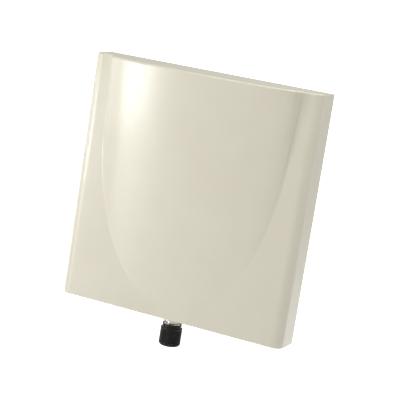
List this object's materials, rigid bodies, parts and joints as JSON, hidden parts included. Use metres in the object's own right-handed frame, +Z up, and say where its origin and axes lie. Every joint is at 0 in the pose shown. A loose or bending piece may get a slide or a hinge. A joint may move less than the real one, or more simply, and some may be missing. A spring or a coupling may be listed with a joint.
{
  "type": "flat panel antenna",
  "caption": "Square flat panel antenna with an arched hood on its radome, studs behind for a bracket, and a coaxial jack below under a knurled screw cap.",
  "frame": {"origin": "centre of the four mounting studs, on the rear face of the back plate", "axes": "the front faces -Y and the studs point along +Y; +Z up, away from the jack; +X right seen from the front"},
  "size_m": [0.216, 0.0702, 0.2459],
  "materials": {
    "asa": "cream weatherproof plastic with a moulded gloss",
    "aluminium": "sheet aluminium with a fine rolled grain",
    "silicone": "dark grey silicone",
    "stainless": "bright stainless steel",
    "laminate": "green circuit laminate",
    "copper": "bare copper",
    "brass": "brass sheet",
    "nylon": "natural nylon",
    "cable_jacket": "black cable jacket",
    "nickel": "nickel plate",
    "ptfe": "white insulator",
    "gold": "gold-plated contact",
    "cap_plastic": "black moulded plastic with a knurl",
    "liner_rubber": "black rubber"
  },
  "bodies": {
    "panel": {"radome": "asa", "back_plate": "aluminium", "rear_gasket": "silicone", "cover_screws": "stainless", "cover_screw_seals": "silicone", "mounting_studs": "stainless", "feed_board": "laminate", "feed_traces": "copper", "board_screws": "stainless", "patch_upper_left": "brass", "patch_upper_right": "brass", "patch_lower_left": "brass", "patch_lower_right": "brass", "patch_standoffs": "nylon", "patch_screws": "stainless", "feed_pins": "copper", "coax_cable": "cable_jacket", "coax_core": "copper", "coax_ferrule": "nickel", "coax_clip": "nylon", "coax_clip_screw": "stainless", "jack_body": "nickel", "jack_dielectric": "ptfe", "jack_contact": "gold", "jack_o_ring": "silicone", "jack_lock_washer": "nickel", "jack_nut": "nickel"},
    "cap_disc": {"cap_liner": "liner_rubber"},
    "screw_cap": {"cap": "cap_plastic"}
  },
  "joints": [
    {"name": "cap_travel", "type": "slide", "parent": "panel", "child": "cap_disc", "axis": [0, 0, -1], "range_m": [0, 0.01483]},
    {"name": "cap_turn", "type": "hinge", "parent": "cap_disc", "child": "screw_cap", "pos_m": [0, -0.0165, -0.13], "axis": [0, 0, -1], "range_deg": [0, 5040]}
  ],
  "couplings": [
    {"joint": "cap_travel", "follows": "cap_turn", "m_per_rad": 0.00016844}
  ]
}
